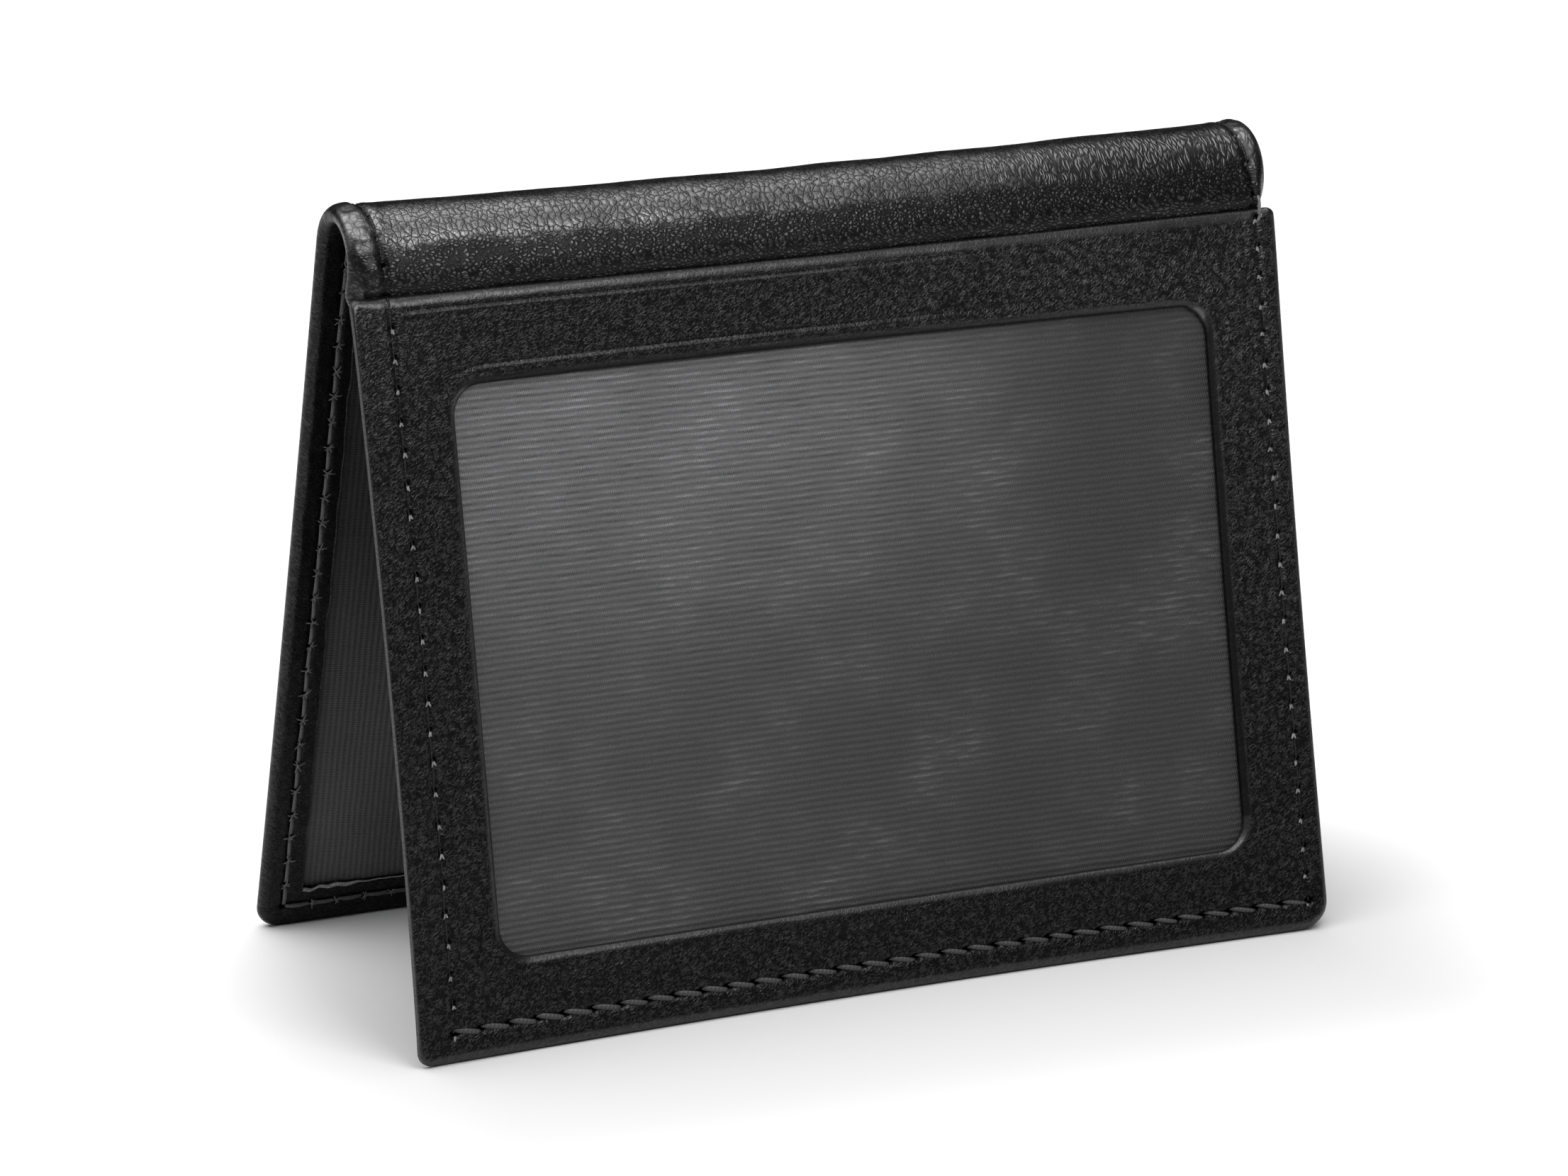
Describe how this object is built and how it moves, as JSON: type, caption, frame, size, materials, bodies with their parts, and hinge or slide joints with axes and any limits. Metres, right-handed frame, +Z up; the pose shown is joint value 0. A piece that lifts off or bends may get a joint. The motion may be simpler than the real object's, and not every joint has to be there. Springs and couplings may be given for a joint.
{
  "type": "folding ID case",
  "caption": "Black leather folding ID case standing open as a tent, with a framed window pocket on its front leaf and fabric linings.",
  "frame": {"origin": "on the floor, midway between the two free ends that the case stands on", "axes": "+X along the fold, +Z up, -Y towards the side the window faces"},
  "size_m": [0.1, 0.0484, 0.0813],
  "materials": {
    "shell_leather": "pebbled black leather, semi-gloss, cracked grain over the fold",
    "panel_leather": "finely pebbled black leather, satin, with pressed crease lines",
    "lining_fabric": "dark grey ribbed lining, ribs running from the fold to the end, dull sheen",
    "pocket_fabric": "dark grey ribbed fabric, ribs running along the fold, soft sheen",
    "thread": "black twisted sewing thread, slight sheen"
  },
  "bodies": {
    "rear_leaf": {"rear_shell": "shell_leather", "rear_lining": "lining_fabric", "rear_seam_left": "thread", "rear_seam_right": "thread", "rear_seam_end": "thread", "rear_inner_seam_left": "thread", "rear_inner_seam_right": "thread", "rear_inner_seam_end": "thread"},
    "spine_strip_1": {"spine_leather_1": "shell_leather", "spine_lining_1": "lining_fabric", "spine_seam_left_1": "thread", "spine_seam_right_1": "thread"},
    "spine_strip_2": {"spine_leather_2": "shell_leather", "spine_lining_2": "lining_fabric", "spine_seam_left_2": "thread", "spine_seam_right_2": "thread"},
    "spine_strip_3": {"spine_leather_3": "shell_leather", "spine_lining_3": "lining_fabric", "spine_seam_left_3": "thread", "spine_seam_right_3": "thread"},
    "front_leaf": {"front_shell": "shell_leather", "front_lining": "lining_fabric", "pocket_backing": "pocket_fabric", "window_panel": "panel_leather", "front_seam_left": "thread", "front_seam_right": "thread", "front_seam_end": "thread", "front_inner_seam_left": "thread", "front_inner_seam_right": "thread", "front_inner_seam_end": "thread"}
  },
  "joints": [
    {"name": "fold", "type": "hinge", "parent": "rear_leaf", "child": "spine_strip_1", "pos_m": [0, 0.00034, 0.07833], "axis": [1, 0, 0], "range_deg": [-38, 6.8], "stiffness_Nm_per_rad": 0.1},
    {"name": "fold_line_2", "type": "hinge", "parent": "spine_strip_1", "child": "spine_strip_2", "pos_m": [0, -0.00224, 0.08016], "axis": [1, 0, 0], "range_deg": [-38, 6.8], "stiffness_Nm_per_rad": 0.1},
    {"name": "fold_line_3", "type": "hinge", "parent": "spine_strip_2", "child": "spine_strip_3", "pos_m": [0, -0.00539, 0.08001], "axis": [1, 0, 0], "range_deg": [-38, 6.8], "stiffness_Nm_per_rad": 0.1},
    {"name": "fold_line_4", "type": "hinge", "parent": "spine_strip_3", "child": "front_leaf", "pos_m": [0, -0.00779, 0.07795], "axis": [1, 0, 0], "range_deg": [-38, 6.8], "stiffness_Nm_per_rad": 0.1}
  ]
}
